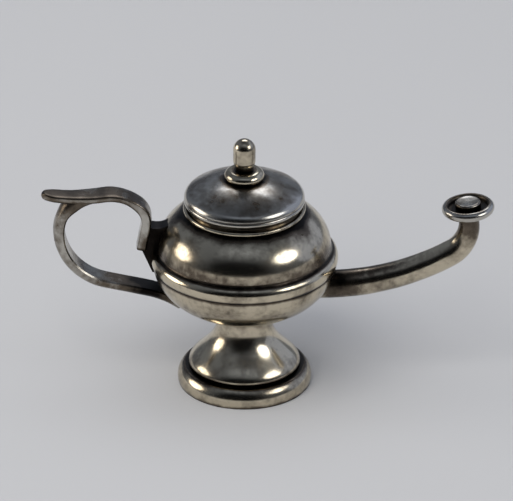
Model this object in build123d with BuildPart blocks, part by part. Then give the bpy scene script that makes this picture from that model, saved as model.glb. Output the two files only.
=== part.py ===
from build123d import *
from math import acos, asin, cos, degrees, radians, sin, sqrt
import os

# A bench-made silver miniature of a genie oil lamp: a raised bowl on a trumpet foot, a bent spout that
# ends in a wick dish, a strap handle under a thumb leaf, and a domed lid that lifts off.
# The origin is the centre of the sole, +Z is up, the spout points along +X and the handle along -X.
# Sizes are in millimetres and angles in degrees.

# Fits
lid_clearance = 0.1  # all round, between the lid's bezel and the neck
rivet_clearance = 0.05  # all round, between a riveted pin and its holes
shank_clearance = 0.1  # all round, between the plug's shank and the spout's bore

# Base
base_radius = 5.83
base_height = 1.65
base_bulge_height = 0.35  # where the rounded edge is that wide
sole_radius = 5.75
base_top_radius = 5.3

# Trumpet foot, from the base up to the lowest point of the bowl
foot_height = 4.98
cove_radius = 4.4
cove_height = 0.1
lip_radius = 4.87
lip_roll = 0.2
flare_height = 4.05  # from the widest level of the lip to the stem
flare_lip_pull = 0.88  # how far the flare holds the lip's direction
flare_stem_pull = 2.15  # and the stem's
stem_radius = 2.42

# Pin that ties base, foot and bowl
pin_radius = 0.55
pin_head_radius = 1.2
pin_head_height = 0.5
pin_head_recess = 0.1  # above the sole
pin_burr_radius = 0.95
pin_burr_height = 0.35
washer_radius = 1.5
washer_thickness = 0.35

# Bowl, two raised half shells that meet at the widest level
bowl_radius = 8.0
bowl_depth = 5.11
bowl_wall = 0.6
vault_height = 5.8  # of the ellipse inside the upper half
side_height = 1.01  # straight side of the upper half, under the band
shoulder_cove = 0.45  # hollow between that side and the shoulder
shoulder_height = 4.65  # of the ellipse that the shoulder is part of
neck_height = 4.86  # from the widest level to the neck

# Moulded band round the waist: a low ridge below a fuller bead
band_drop = 0.19  # how far it reaches below the widest level
ridge_height = 0.55
bead_height = 0.65
band_crease = 0.05  # how far each stands off the bowl
ridge_proud = 0.09
bead_proud = 0.16
band_root = 0.4  # how far the band is drawn into the bowl before it is trimmed to it

# Neck ring
mouth_radius = 4.7
neck_bore = 4.1
skirt_height = 0.6
flange_radius = 5.25
flange_thickness = 0.3
collar_radius = 4.85
collar_height = 0.85

# Lid
lid_wall = 0.5
lid_foot_radius = 4.95
lid_radius = 5.25
lid_bulge_height = 0.36
lid_shoulder_radius = 4.9
lid_shoulder_height = 1.0
dome_rise = 1.35
lid_bore = 4.4
bezel_wall = 0.5
bezel_reach = 1.6  # below the top of the neck ring

# Finial
seat_radius = 1.5
bead_radius = 1.74
bead_thickness = 0.85
bead_top_radius = 0.85
tail_radius = 0.4
knob_foot_radius = 0.74
knob_radius = 0.98
knob_swell_height = 0.9
knob_barrel_height = 1.05
burr_washer_radius = 0.9
burr_washer_thickness = 0.3
tail_burr_radius = 0.65
tail_burr_height = 0.3

# Spout, along two arcs from inside the bowl to the dish
spout_drop = 2.38  # of its axis inside the bowl, below the widest level
spout_sink = 1.53  # how far inside the bowl's side its axis starts
spout_heading = -1.1
spout_run_radius = 21.5
spout_run_angle = 32.1
spout_elbow_radius = 3.23
spout_elbow_angle = 63.0
spout_end_length = 0.8
spout_root_radius = 1.24
spout_elbow_section = 1.13
spout_tip_radius = 0.9
spout_bore = 0.55
spout_stations = 5  # sections along each arc

# Dish and plug at the spout's end, along the spout's last direction
dish_radius = 2.3
dish_height = 1.0
dish_bulge_height = 0.58
dish_floor_radius = 1.85  # where the sloping underside meets the round lip
dish_floor_rise = 0.17
lip_crest_radius = 1.9
moat_radius = 1.66
moat_depth = 0.4
plug_radius = 1.13
plug_chamfer = 0.12
plug_proud = 0.25  # above the dish
shank_length = 0.7  # below the dish, in the bore

# Handle strap, half round, from under the bowl round to the thumb leaf
strap_width = 2.0
strap_thickness = 1.0
strap_edge = 0.3  # of the thickness, straight at each side
strap_drop = 2.85  # of its axis beside the bowl, below the widest level
strap_offset = 0.6  # from the bowl's side to where the straight run starts
strap_heading = 167.9
strap_run = 3.5
strap_bow_radius = 5.2
strap_crown_radius = 3.7
strap_crown_angle = 75.0
tail_bend_radius = 8.0
tail_angle = 24.0

# Thumb leaf on the strap, bent down beside the bowl
leaf_width = 2.36
leaf_end_width = 1.9
leaf_tip_radius = 0.5
leaf_thickness = 0.5
leaf_stand = 0.93  # from the bowl's side to the end of the leg's axis
leaf_rise = 1.36  # of that end, above the widest level
leaf_heading = 79.9
leaf_sag_radius = 16.0
leaf_sag_angle = 19.5
leaf_crest_radius = 3.6
leaf_crest_angle = 55.7
leaf_bend_radius = 1.9
leaf_bend_angle = 53.6
leaf_leg_length = 2.3

# Lug between the leaf's leg and the bowl
lug_width = 1.5
lug_height = 2.35  # along the leaf's leg, from its lower end
lug_sag = 0.3  # of its hollow top
lug_foot_drop = 0.85  # of its lowest point on the bowl, below the widest level

# Levels that follow from these
bowl_bottom = base_height + foot_height
waist = bowl_bottom + bowl_depth
neck = waist + neck_height
cove_level = waist + side_height
shoulder = cove_level + shoulder_cove
shoulder_radius = bowl_radius - shoulder_cove
neck_angle = degrees(asin((neck - shoulder) / shoulder_height))
lid_seat = neck + collar_height
dome_base = lid_seat + lid_shoulder_height
dome_radius = (lid_shoulder_radius**2 + dome_rise**2) / (2 * dome_rise)
dome_centre = dome_base + dome_rise - dome_radius
bead_seat = dome_centre + sqrt(dome_radius**2 - seat_radius**2)
bead_top = bead_seat + bead_thickness
dome_inside = dome_radius - lid_wall
burr_seat = dome_centre + sqrt(dome_inside**2 - burr_washer_radius**2)
pin_hole = pin_radius + rivet_clearance
tail_hole = tail_radius + rivet_clearance


def heading(angle):
    """Direction in the XZ plane at an angle from +X, as local coordinates."""
    return (cos(radians(angle)), sin(radians(angle)))


# Outer form of the bowl, used to fit everything that is soldered to it
with BuildPart() as bowl_form:
    with BuildSketch(Plane.XZ):
        with BuildLine():
            EllipticalCenterArc((0, waist), bowl_radius, bowl_depth, 270, arc_size=90)
            Line((bowl_radius, waist), (bowl_radius, cove_level))
            CenterArc((bowl_radius, shoulder), shoulder_cove, 270, -90)
            upper = EllipticalCenterArc(
                (0, shoulder), shoulder_radius, shoulder_height, 0, arc_size=neck_angle
            )
            Polyline(upper @ 1, (0, neck), (0, bowl_bottom))
        make_face()
    revolve(axis=Axis.Z)

# Base with a fat rounded edge, counterbored underneath for the pin
with BuildPart() as base_plate:
    with BuildSketch(Plane.XZ):
        with BuildLine():
            Polyline((sole_radius, 0), (0, 0), (0, base_height), (base_top_radius, base_height))
            ThreePointArc((sole_radius, 0), (base_radius, base_bulge_height), (base_top_radius, base_height))
        make_face()
    revolve(axis=Axis.Z)
    with BuildSketch(Plane.XY):
        Circle(pin_head_radius + rivet_clearance)
    extrude(amount=pin_head_recess + pin_head_height, mode=Mode.SUBTRACT)
    with BuildSketch(Plane.XY):
        Circle(pin_hole)
    extrude(amount=base_height, mode=Mode.SUBTRACT)

# Trumpet foot with a rounded lip, its top cut to the bowl
with BuildPart() as foot_bell:
    lip_level = base_height + cove_height
    flare_level = lip_level + lip_roll
    stem_level = flare_level + flare_height
    with BuildSketch(Plane.XZ):
        with BuildLine():
            Polyline(
                (pin_hole, base_height),
                (cove_radius, base_height),
                (cove_radius, lip_level),
                (lip_radius - lip_roll, lip_level),
            )
            CenterArc((lip_radius - lip_roll, flare_level), lip_roll, 270, 90)
            Bezier(
                (lip_radius, flare_level),
                (lip_radius, flare_level + flare_lip_pull),
                (stem_radius, stem_level - flare_stem_pull),
                (stem_radius, stem_level),
            )
            Polyline(
                (stem_radius, stem_level),
                (stem_radius, waist),
                (pin_hole, waist),
                (pin_hole, base_height),
            )
        make_face()
    revolve(axis=Axis.Z)
    add(bowl_form.part, mode=Mode.SUBTRACT)

# Lower half of the bowl, pierced for the pin and for the spout
with BuildPart() as bowl_lower:
    with BuildSketch(Plane.XZ):
        with BuildLine():
            outside = EllipticalCenterArc((0, waist), bowl_radius, bowl_depth, 270, arc_size=90)
            inside = EllipticalCenterArc(
                (0, waist), bowl_radius - bowl_wall, bowl_depth - bowl_wall, 270, arc_size=90
            )
            Line(outside @ 0, inside @ 0)
            Line(outside @ 1, inside @ 1)
        make_face()
    revolve(axis=Axis.Z)
    with BuildSketch(Plane.XY):
        Circle(pin_hole)
    extrude(amount=waist, mode=Mode.SUBTRACT)
    spout_start = (bowl_radius - spout_sink, 0, waist - spout_drop)
    spout_forward = (cos(radians(spout_heading)), 0, sin(radians(spout_heading)))
    with BuildSketch(Plane(origin=spout_start, z_dir=spout_forward)):
        Circle(spout_bore)
    extrude(amount=spout_sink, both=True, mode=Mode.SUBTRACT)

# Upper half of the bowl, with the round mouth
with BuildPart() as bowl_upper:
    with BuildSketch(Plane.XZ):
        with BuildLine():
            inner_angle = degrees(asin(neck_height / vault_height))
            inside = EllipticalCenterArc(
                (0, waist), bowl_radius - bowl_wall, vault_height, 0, arc_size=inner_angle
            )
            Polyline(inside @ 0, (bowl_radius, waist), (bowl_radius, cove_level))
            CenterArc((bowl_radius, shoulder), shoulder_cove, 270, -90)
            outside = EllipticalCenterArc(
                (0, shoulder), shoulder_radius, shoulder_height, 0, arc_size=neck_angle
            )
            Line(outside @ 1, inside @ 1)
        make_face()
    revolve(axis=Axis.Z)
    with BuildSketch(Plane.XY.offset(waist)):
        Circle(mouth_radius)
    extrude(amount=neck_height, mode=Mode.SUBTRACT)

# Band over the seam: a ridge and a bead, trimmed to the bowl
with BuildPart() as waist_bead:
    band_bottom = waist - band_drop
    bead_bottom = band_bottom + ridge_height
    band_top = bead_bottom + bead_height
    crease_radius = bowl_radius + band_crease
    with BuildSketch(Plane.XZ):
        with BuildLine():
            ThreePointArc(
                (crease_radius, band_bottom),
                (bowl_radius + ridge_proud, band_bottom + ridge_height / 2),
                (crease_radius, bead_bottom),
            )
            ThreePointArc(
                (crease_radius, bead_bottom),
                (bowl_radius + bead_proud, bead_bottom + bead_height / 2),
                (crease_radius, band_top),
            )
            Polyline(
                (crease_radius, band_top),
                (bowl_radius - band_root, band_top),
                (bowl_radius - band_root, band_bottom),
                (crease_radius, band_bottom),
            )
        make_face()
    revolve(axis=Axis.Z)
    add(bowl_form.part, mode=Mode.SUBTRACT)

# Neck ring: a skirt in the mouth, a flange on the bowl and a collar that the lid rests on
with BuildPart() as neck_ring:
    with BuildSketch(Plane.XZ):
        with BuildLine():
            Polyline(
                (neck_bore, neck - skirt_height),
                (mouth_radius, neck - skirt_height),
                (mouth_radius, neck),
                (flange_radius, neck),
                (flange_radius, neck + flange_thickness),
                (collar_radius, neck + flange_thickness),
                (collar_radius, lid_seat),
                (neck_bore, lid_seat),
                close=True,
            )
        make_face()
    revolve(axis=Axis.Z)

# Washer on the floor of the bowl, hollowed underneath to lie on it
with BuildPart() as pin_washer:
    floor = bowl_bottom + bowl_wall
    with BuildSketch(Plane.XY.offset(floor)):
        Circle(washer_radius)
        Circle(pin_hole, mode=Mode.SUBTRACT)
    extrude(amount=washer_thickness)
    add(bowl_lower.part, mode=Mode.SUBTRACT)

# Tie pin: a flat head sunk in the sole, peened over the washer
with BuildPart() as tie_pin:
    burr_level = floor + washer_thickness
    head_top = pin_head_recess + pin_head_height
    with BuildSketch(Plane.XZ):
        with BuildLine():
            burr = EllipticalCenterArc(
                (pin_radius, burr_level), pin_burr_radius - pin_radius, pin_burr_height, 0, arc_size=90
            )
            Polyline(
                burr @ 1,
                (0, burr_level + pin_burr_height),
                (0, pin_head_recess),
                (pin_head_radius, pin_head_recess),
                (pin_head_radius, head_top),
                (pin_radius, head_top),
                (pin_radius, burr_level),
                burr @ 0,
            )
        make_face()
    revolve(axis=Axis.Z)

# Domed lid with a rolled edge, flat under the finial inside and out
with BuildPart() as lid_dome:
    with BuildSketch(Plane.XZ):
        with BuildLine():
            ThreePointArc(
                (lid_foot_radius, lid_seat),
                (lid_radius, lid_seat + lid_bulge_height),
                (lid_shoulder_radius, dome_base),
            )
            dome_start = degrees(acos(lid_shoulder_radius / dome_radius))
            dome_end = degrees(acos(seat_radius / dome_radius))
            CenterArc((0, dome_centre), dome_radius, dome_start, dome_end - dome_start)
            vault_start = degrees(acos(lid_bore / dome_inside))
            vault_end = degrees(acos(burr_washer_radius / dome_inside))
            vault = CenterArc((0, dome_centre), dome_inside, vault_start, vault_end - vault_start)
            Polyline(
                (seat_radius, bead_seat),
                (tail_hole, bead_seat),
                (tail_hole, burr_seat),
                vault @ 1,
            )
            Polyline(vault @ 0, (lid_bore, lid_seat), (lid_foot_radius, lid_seat))
        make_face()
    revolve(axis=Axis.Z)

# Bezel: the tube under the lid, cut to the inside of the dome
with BuildPart() as lid_bezel:
    bezel_radius = neck_bore - lid_clearance
    with BuildSketch(Plane.XY.offset(lid_seat - bezel_reach)):
        Circle(bezel_radius)
        Circle(bezel_radius - bezel_wall, mode=Mode.SUBTRACT)
    vault_level = dome_centre + sqrt(dome_inside**2 - (bezel_radius - bezel_wall) ** 2)
    extrude(amount=vault_level - lid_seat + bezel_reach)
    add(lid_dome.part, mode=Mode.SUBTRACT)

# Flattened bead under the knob
with BuildPart() as finial_collar:
    with BuildSketch(Plane.XZ):
        with BuildLine():
            bead_mid = bead_seat + bead_thickness / 2
            under = EllipticalCenterArc(
                (seat_radius, bead_mid), bead_radius - seat_radius, bead_thickness / 2, 270, arc_size=90
            )
            over = EllipticalCenterArc(
                (bead_top_radius, bead_mid), bead_radius - bead_top_radius, bead_thickness / 2, 0, arc_size=90
            )
            Polyline(over @ 1, (tail_hole, bead_top), (tail_hole, bead_seat), under @ 0)
        make_face()
    revolve(axis=Axis.Z)

# Bullet-shaped knob on a tail that is peened over inside the lid
with BuildPart() as finial_knob:
    swell_level = bead_top + knob_swell_height
    barrel_level = swell_level + knob_barrel_height
    tail_level = burr_seat - burr_washer_thickness
    with BuildSketch(Plane.XZ):
        with BuildLine():
            swell = Spline(
                (knob_foot_radius, bead_top),
                (knob_radius, swell_level),
                tangents=[(0, 1), (0, 1)],
            )
            Line(swell @ 1, (knob_radius, barrel_level))
            crown = CenterArc((0, barrel_level), knob_radius, 0, 90)
            tail_burr = EllipticalCenterArc(
                (tail_radius, tail_level), tail_burr_radius - tail_radius, tail_burr_height, 270, arc_size=90
            )
            Polyline(crown @ 1, (0, tail_level - tail_burr_height), tail_burr @ 0)
            Polyline(tail_burr @ 1, (tail_radius, tail_level), (tail_radius, bead_top), swell @ 0)
        make_face()
    revolve(axis=Axis.Z)

# Washer under the lid
with BuildPart() as finial_washer:
    with BuildSketch(Plane.XY.offset(tail_level)):
        Circle(burr_washer_radius)
        Circle(tail_hole, mode=Mode.SUBTRACT)
    extrude(amount=burr_washer_thickness)

# Axis of the spout: a long shallow run, a tight elbow and a short straight end
with BuildLine(Plane.XZ) as spout_axis:
    run = JernArc(
        (bowl_radius - spout_sink, waist - spout_drop),
        heading(spout_heading),
        spout_run_radius,
        spout_run_angle,
    )
    elbow = JernArc(run @ 1, run % 1, spout_elbow_radius, spout_elbow_angle)
    spout_end = Line(elbow @ 1, elbow @ 1 + (elbow % 1) * spout_end_length)

# Tapered spout, bored right through, its root cut to the bowl
with BuildPart() as spout_tube:
    for station in range(spout_stations):
        step = station / spout_stations
        with BuildSketch(Plane(origin=run @ step, x_dir=(0, 1, 0), z_dir=run % step)):
            Circle(spout_root_radius + step * (spout_elbow_section - spout_root_radius))
    for station in range(spout_stations):
        step = station / spout_stations
        with BuildSketch(Plane(origin=elbow @ step, x_dir=(0, 1, 0), z_dir=elbow % step)):
            Circle(spout_elbow_section + step * (spout_tip_radius - spout_elbow_section))
    with BuildSketch(Plane(origin=spout_end @ 1, x_dir=(0, 1, 0), z_dir=spout_end % 1)):
        Circle(spout_tip_radius)
    loft()
    with BuildSketch(Plane(origin=run @ 0, x_dir=(0, 1, 0), z_dir=run % 0)):
        Circle(spout_bore)
    sweep(path=spout_axis.wire(), mode=Mode.SUBTRACT)
    add(bowl_form.part, mode=Mode.SUBTRACT)

# Frame of the dish: on the spout's end, along its last direction
dish_frame = Plane(origin=spout_end @ 1, x_dir=(0, 1, 0), z_dir=spout_end % 1)
dish_axis = Axis(dish_frame.origin, dish_frame.z_dir)
dish_profile = Plane(origin=dish_frame.origin, x_dir=dish_frame.x_dir, z_dir=dish_frame.y_dir * -1)

# Round-lipped dish on the end of the spout
with BuildPart() as spout_cup:
    moat_level = dish_height - moat_depth
    with BuildSketch(dish_profile):
        with BuildLine():
            underside = Line((spout_tip_radius, 0), (dish_floor_radius, dish_floor_rise))
            ThreePointArc(
                underside @ 1,
                (dish_radius, dish_bulge_height),
                (lip_crest_radius, dish_height),
            )
            lip = EllipticalCenterArc(
                (lip_crest_radius, moat_level), lip_crest_radius - moat_radius, moat_depth, 90, arc_size=90
            )
            Polyline(lip @ 1, (spout_bore, moat_level), (spout_bore, 0), underside @ 0)
        make_face()
    revolve(axis=dish_axis)

# Flat-topped plug standing in the dish, its shank in the spout
with BuildPart() as wick_plug:
    plug_top = dish_height + plug_proud
    shank_radius = spout_bore - shank_clearance
    with BuildSketch(dish_profile):
        with BuildLine():
            Polyline(
                (0, -shank_length),
                (shank_radius, -shank_length),
                (shank_radius, moat_level),
                (plug_radius, moat_level),
                (plug_radius, plug_top - plug_chamfer),
                (plug_radius - plug_chamfer, plug_top),
                (0, plug_top),
                close=True,
            )
        make_face()
    revolve(axis=dish_axis)

# Axis of the handle strap: a tail hooked under the bowl, a run out, the bow and the crown under the leaf
with BuildLine(Plane.XZ) as strap_axis:
    strap_start = (-bowl_radius - strap_offset, waist - strap_drop)
    out_run = PolarLine(strap_start, strap_run, strap_heading)
    bow = JernArc(out_run @ 1, out_run % 1, strap_bow_radius, 90 - strap_heading)
    crown_arc = JernArc(bow @ 1, bow % 1, strap_crown_radius, -strap_crown_angle)
    tail_arc = JernArc(out_run @ 0, (out_run % 0) * -1, tail_bend_radius, -tail_angle)

# Axis of the thumb leaf: up the leg beside the bowl, over the bend and the crest, along a sag to its point
with BuildLine(Plane.XZ) as leaf_axis:
    leg_end = (-bowl_radius - leaf_stand, waist + leaf_rise)
    leg = PolarLine(leg_end, leaf_leg_length, leaf_heading)
    bend = JernArc(leg @ 1, leg % 1, leaf_bend_radius, leaf_bend_angle)
    crest = JernArc(bend @ 1, bend % 1, leaf_crest_radius, leaf_crest_angle)
    sag = JernArc(crest @ 1, crest % 1, leaf_sag_radius, -leaf_sag_angle)

# Thumb leaf: a strip bent along its axis, its outline cut to a leaf
with BuildPart() as thumb_leaf:
    leaf_point = sag @ 1
    leaf_plane = Plane(origin=leaf_point, x_dir=(0, 1, 0), z_dir=(sag % 1) * -1)
    with BuildSketch(leaf_plane):
        Rectangle(leaf_width, leaf_thickness)
    sweep(path=leaf_axis.wire())
    with BuildSketch(Plane.XY):
        with BuildLine():
            tip_arc = CenterArc((leaf_point.X + leaf_tip_radius, 0), leaf_tip_radius, 180, -90)
            swell_edge = Spline(tip_arc @ 1, ((crest @ 1).X, leaf_width / 2), tangents=[(1, 0), (1, 0)])
            leaf_end = (bend @ 0).X + leaf_thickness
            taper_edge = Spline(swell_edge @ 1, (leaf_end, leaf_end_width / 2), tangents=[(1, 0), (1, 0)])
            Line(taper_edge @ 1, (leaf_end, 0))
            mirror(about=Plane.XZ)
        make_face()
    extrude(amount=(crest @ 0).Z + leaf_crest_radius, mode=Mode.INTERSECT)

# Half-round handle strap, trimmed to the bowl at its tail and to the underside of the leaf at its crown
with BuildPart() as handle_loop:
    tail_plane = Plane(origin=tail_arc @ 1, x_dir=(0, 1, 0), z_dir=(tail_arc % 1) * -1)
    with BuildSketch(tail_plane):
        with BuildLine():
            strap_back = EllipticalCenterArc(
                (0, strap_edge - strap_thickness / 2),
                strap_width / 2,
                strap_thickness - strap_edge,
                0,
                arc_size=180,
            )
            Polyline(
                strap_back @ 1,
                (-strap_width / 2, -strap_thickness / 2),
                (strap_width / 2, -strap_thickness / 2),
                strap_back @ 0,
            )
        make_face()
    sweep(path=strap_axis.wire())
    add(bowl_form.part, mode=Mode.SUBTRACT)
    with BuildSketch(leaf_plane):
        with Locations((0, -leaf_thickness / 2)):
            Rectangle(strap_width * 2, strap_thickness * 2, align=(Align.CENTER, Align.MIN))
    sweep(path=sag, mode=Mode.SUBTRACT)

# Lug: the hollow-topped block between the leaf's leg and the bowl, running out over the band
with BuildPart() as handle_lug:
    lug_low = leg @ 0
    lug_high = lug_low + (leg % 0) * lug_height
    lug_side = -shoulder_radius * sqrt(1 - ((lug_high.Z - shoulder) / shoulder_height) ** 2)
    lug_foot = waist - lug_foot_drop
    with BuildSketch(Plane.XZ):
        with BuildLine():
            hollow = SagittaArc((lug_high.X, lug_high.Z), (lug_side, lug_high.Z), -lug_sag)
            Polyline(
                hollow @ 1,
                (0, lug_high.Z),
                (0, lug_foot),
                (-bowl_radius, lug_foot),
                (lug_low.X, lug_low.Z),
                hollow @ 0,
            )
        make_face()
    extrude(amount=lug_width / 2, both=True)
    add(bowl_form.part, mode=Mode.SUBTRACT)
    add(waist_bead.part, mode=Mode.SUBTRACT)
    add(thumb_leaf.part, mode=Mode.SUBTRACT)

pieces = {
    "base_plate": base_plate,
    "foot_bell": foot_bell,
    "tie_pin": tie_pin,
    "pin_washer": pin_washer,
    "bowl_lower": bowl_lower,
    "bowl_upper": bowl_upper,
    "waist_bead": waist_bead,
    "neck_ring": neck_ring,
    "lid_dome": lid_dome,
    "lid_bezel": lid_bezel,
    "finial_collar": finial_collar,
    "finial_knob": finial_knob,
    "finial_washer": finial_washer,
    "spout_tube": spout_tube,
    "spout_cup": spout_cup,
    "wick_plug": wick_plug,
    "handle_loop": handle_loop,
    "thumb_leaf": thumb_leaf,
    "handle_lug": handle_lug,
}
os.makedirs("parts", exist_ok=True)
for name, piece in pieces.items():
    piece.part.label = name
    export_step(piece.part, f"parts/{name}.step")
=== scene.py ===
"""Dresses a bench-made silver miniature of a genie oil lamp.

Every piece that shows is turned, swept or cut again at the sizes of the lamp's solids, with the
soft edges, hand-made wobble and tarnish of old silver. The pins, washers and the lid's bezel stay
as they are and only get their metal. The lamp's lengths are written in millimetres, the studio's
in metres where they say so, and angles in degrees.
"""

import logging
import math
from dataclasses import dataclass, field
from enum import Enum
from typing import Any, Callable, Optional, Protocol, Sequence

import bpy
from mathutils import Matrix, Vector

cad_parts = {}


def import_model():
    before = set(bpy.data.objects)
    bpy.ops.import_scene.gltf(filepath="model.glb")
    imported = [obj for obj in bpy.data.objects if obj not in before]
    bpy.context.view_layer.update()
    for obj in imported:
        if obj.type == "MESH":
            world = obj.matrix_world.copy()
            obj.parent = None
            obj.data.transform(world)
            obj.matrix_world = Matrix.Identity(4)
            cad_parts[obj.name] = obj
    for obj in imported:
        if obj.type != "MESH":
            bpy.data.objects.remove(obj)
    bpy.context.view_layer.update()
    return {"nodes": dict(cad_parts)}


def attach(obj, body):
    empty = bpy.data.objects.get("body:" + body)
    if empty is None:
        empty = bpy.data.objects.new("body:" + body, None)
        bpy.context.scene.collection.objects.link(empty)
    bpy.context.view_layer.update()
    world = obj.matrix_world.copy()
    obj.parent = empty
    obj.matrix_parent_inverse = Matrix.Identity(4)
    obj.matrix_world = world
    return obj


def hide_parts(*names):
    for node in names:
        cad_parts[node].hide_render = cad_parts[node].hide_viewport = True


LOG = logging.getLogger("genie_lamp")
MM = 0.001
MERGE_DISTANCE = 1e-6  # in metres, as the next one
CUT_TOLERANCE = 1e-7
BEVEL_SEGMENTS = 2
CURVE_STEPS = 5  # the fewest along a curve
NEAR_TIP = 0.995  # stops a rounded end just short of a point with no width
RANGE_SOCKETS = ("From Min", "From Max", "To Min", "To Max")

Point = tuple[float, float]
Span = tuple[float, float, float, float]  # the ends of a range, and what they become


class Body(Enum):
    """The lamp's two moving bodies."""

    LAMP = "lamp"
    LID = "lid"


class Slot(Enum):
    """Material slots of the part."""

    SILVER = "silver"
    DARK_SILVER = "dark_silver"


def linear(colour: str) -> tuple[float, float, float, float]:
    """Turns an sRGB hex colour into linear RGBA.

    Args:
        colour: Six hex digits after a hash sign.

    Returns:
        The linear colour, opaque.
    """
    channels = [int(colour[place : place + 2], 16) / 255 for place in (1, 3, 5)]
    red, green, blue = [
        c / 12.92 if c <= 0.04045 else ((c + 0.055) / 1.055) ** 2.4 for c in channels
    ]
    return (red, green, blue, 1.0)


def per_metre(size: float) -> float:
    """Gives the texture scale for a pattern of that size in millimetres."""
    return 1 / (size * MM)


def toward(angle: float) -> Vector:
    """Gives the direction in the XZ plane at an angle from +X."""
    return Vector((math.cos(math.radians(angle)), 0.0, math.sin(math.radians(angle))))


def in_plane(point: Point) -> Vector:
    """Gives the place of a point drawn in the XZ plane."""
    return Vector((point[0], 0.0, point[1]))


def ease(step: float) -> float:
    """Goes from 0 to 1 with a level start and end."""
    step = min(max(step, 0.0), 1.0)
    return step * step * (3 - 2 * step)


def add_node(
    tree: bpy.types.NodeTree,
    kind: str,
    settings: Optional[dict[Any, Any]] = None,
    links: Optional[dict[Any, bpy.types.NodeSocket]] = None,
) -> bpy.types.Node:
    """Adds a node to a tree.

    Args:
        tree: The node tree.
        kind: The node's Blender type.
        settings: Values for its properties and its unlinked sockets.
        links: Output sockets to link to its inputs.

    Returns:
        The new node.
    """
    node = tree.nodes.new(kind)
    for key, value in (settings or {}).items():
        if isinstance(key, int) or key in node.inputs:
            node.inputs[key].default_value = value
        else:
            setattr(node, key, value)
    for key, source in (links or {}).items():
        tree.links.new(source, node.inputs[key])
    return node


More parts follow.
